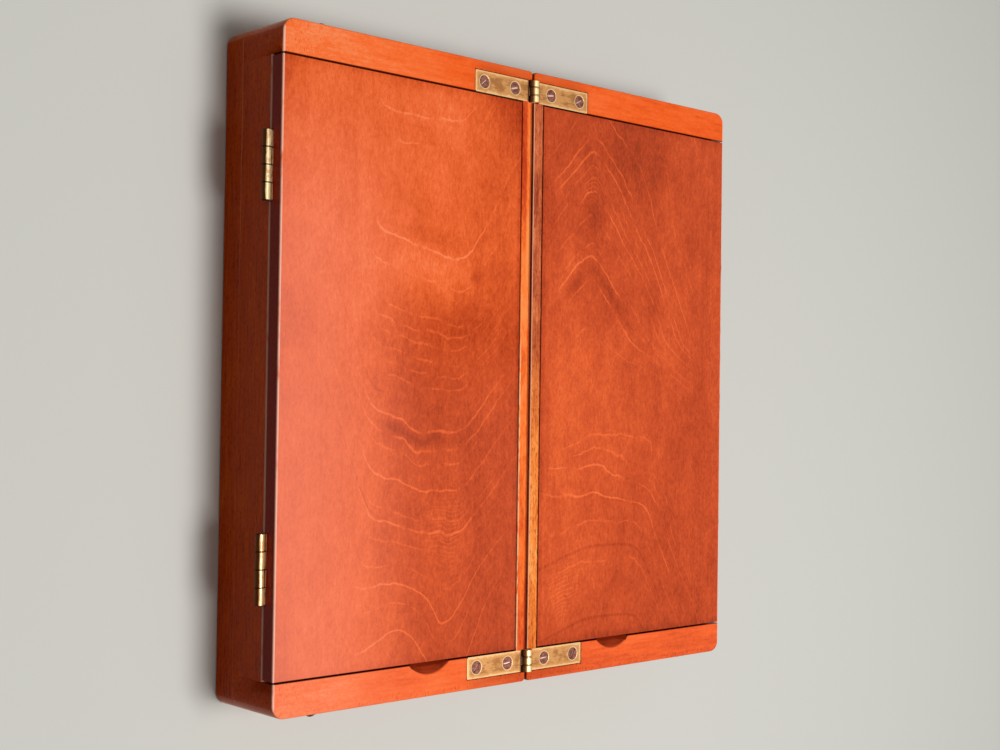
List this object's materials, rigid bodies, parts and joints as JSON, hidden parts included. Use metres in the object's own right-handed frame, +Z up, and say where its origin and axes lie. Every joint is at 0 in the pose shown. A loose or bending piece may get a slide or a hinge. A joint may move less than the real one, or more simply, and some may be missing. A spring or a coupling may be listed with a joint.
{
  "type": "folding travelling box",
  "caption": "Folding wooden box of two shallow trays joined by flush strap hinges, each tray under its own hinged lid, with hook catches.",
  "frame": {"origin": "on the table, under the middle of the fold, with the box lying open flat", "axes": "+X across the fold towards the right half, +Y along the fold towards the back end, +Z up"},
  "size_m": [0.2514, 0.2524, 0.0398],
  "materials": {
    "case_mahogany": "french-polished mahogany, worn along the edges",
    "lid_mahogany": "french-polished mahogany, satin gloss",
    "hinge_brass": "aged brass, polished by wear",
    "screw_metal": "dark aged screw heads with bright slots"
  },
  "bodies": {
    "left_half": {"left_base_board": "case_mahogany", "left_front_rail": "case_mahogany", "left_back_rail": "case_mahogany", "left_outer_wall": "case_mahogany", "left_inner_wall": "case_mahogany", "front_strap_leaf_left": "hinge_brass", "back_strap_leaf_left": "hinge_brass", "left_strap_screws": "screw_metal", "left_front_hinge_case_leaf": "hinge_brass", "left_front_hinge_pin": "hinge_brass", "left_back_hinge_case_leaf": "hinge_brass", "left_back_hinge_pin": "hinge_brass", "left_hinge_case_screws": "screw_metal", "hook_pivot_screws": "hinge_brass"},
    "right_half": {"right_base_board": "case_mahogany", "right_front_rail": "case_mahogany", "right_back_rail": "case_mahogany", "right_outer_wall": "case_mahogany", "right_inner_wall": "case_mahogany", "front_strap_leaf_right": "hinge_brass", "back_strap_leaf_right": "hinge_brass", "right_strap_screws": "screw_metal", "right_front_hinge_case_leaf": "hinge_brass", "right_front_hinge_pin": "hinge_brass", "right_back_hinge_case_leaf": "hinge_brass", "right_back_hinge_pin": "hinge_brass", "right_hinge_case_screws": "screw_metal", "front_strap_pin": "hinge_brass", "back_strap_pin": "hinge_brass", "catch_pins": "hinge_brass"},
    "left_lid": {"left_lid_panel": "lid_mahogany", "left_front_hinge_lid_leaf": "hinge_brass", "left_back_hinge_lid_leaf": "hinge_brass", "left_hinge_lid_screws": "screw_metal"},
    "right_lid": {"right_lid_panel": "lid_mahogany", "right_front_hinge_lid_leaf": "hinge_brass", "right_back_hinge_lid_leaf": "hinge_brass", "right_hinge_lid_screws": "screw_metal"},
    "front_hook": {"front_hook": "hinge_brass"},
    "back_hook": {"back_hook": "hinge_brass"}
  },
  "joints": [
    {"name": "fold", "type": "hinge", "parent": "left_half", "child": "right_half", "pos_m": [0, 0, 0.03765], "axis": [0, -1, 0], "range_deg": [0, 180]},
    {"name": "left_lid_hinge", "type": "hinge", "parent": "left_half", "child": "left_lid", "pos_m": [-0.124, 0, 0.0307], "axis": [0, -1, 0], "range_deg": [0, 190]},
    {"name": "right_lid_hinge", "type": "hinge", "parent": "right_half", "child": "right_lid", "pos_m": [0.124, 0, 0.0307], "axis": [0, 1, 0], "range_deg": [0, 190]},
    {"name": "front_hook_swing", "type": "hinge", "parent": "left_half", "child": "front_hook", "pos_m": [-0.1013, -0.12465, 0.0305], "axis": [0, 1, 0], "range_deg": [0, 180]},
    {"name": "back_hook_swing", "type": "hinge", "parent": "left_half", "child": "back_hook", "pos_m": [-0.1013, 0.12465, 0.0305], "axis": [0, 1, 0], "range_deg": [0, 180]}
  ]
}
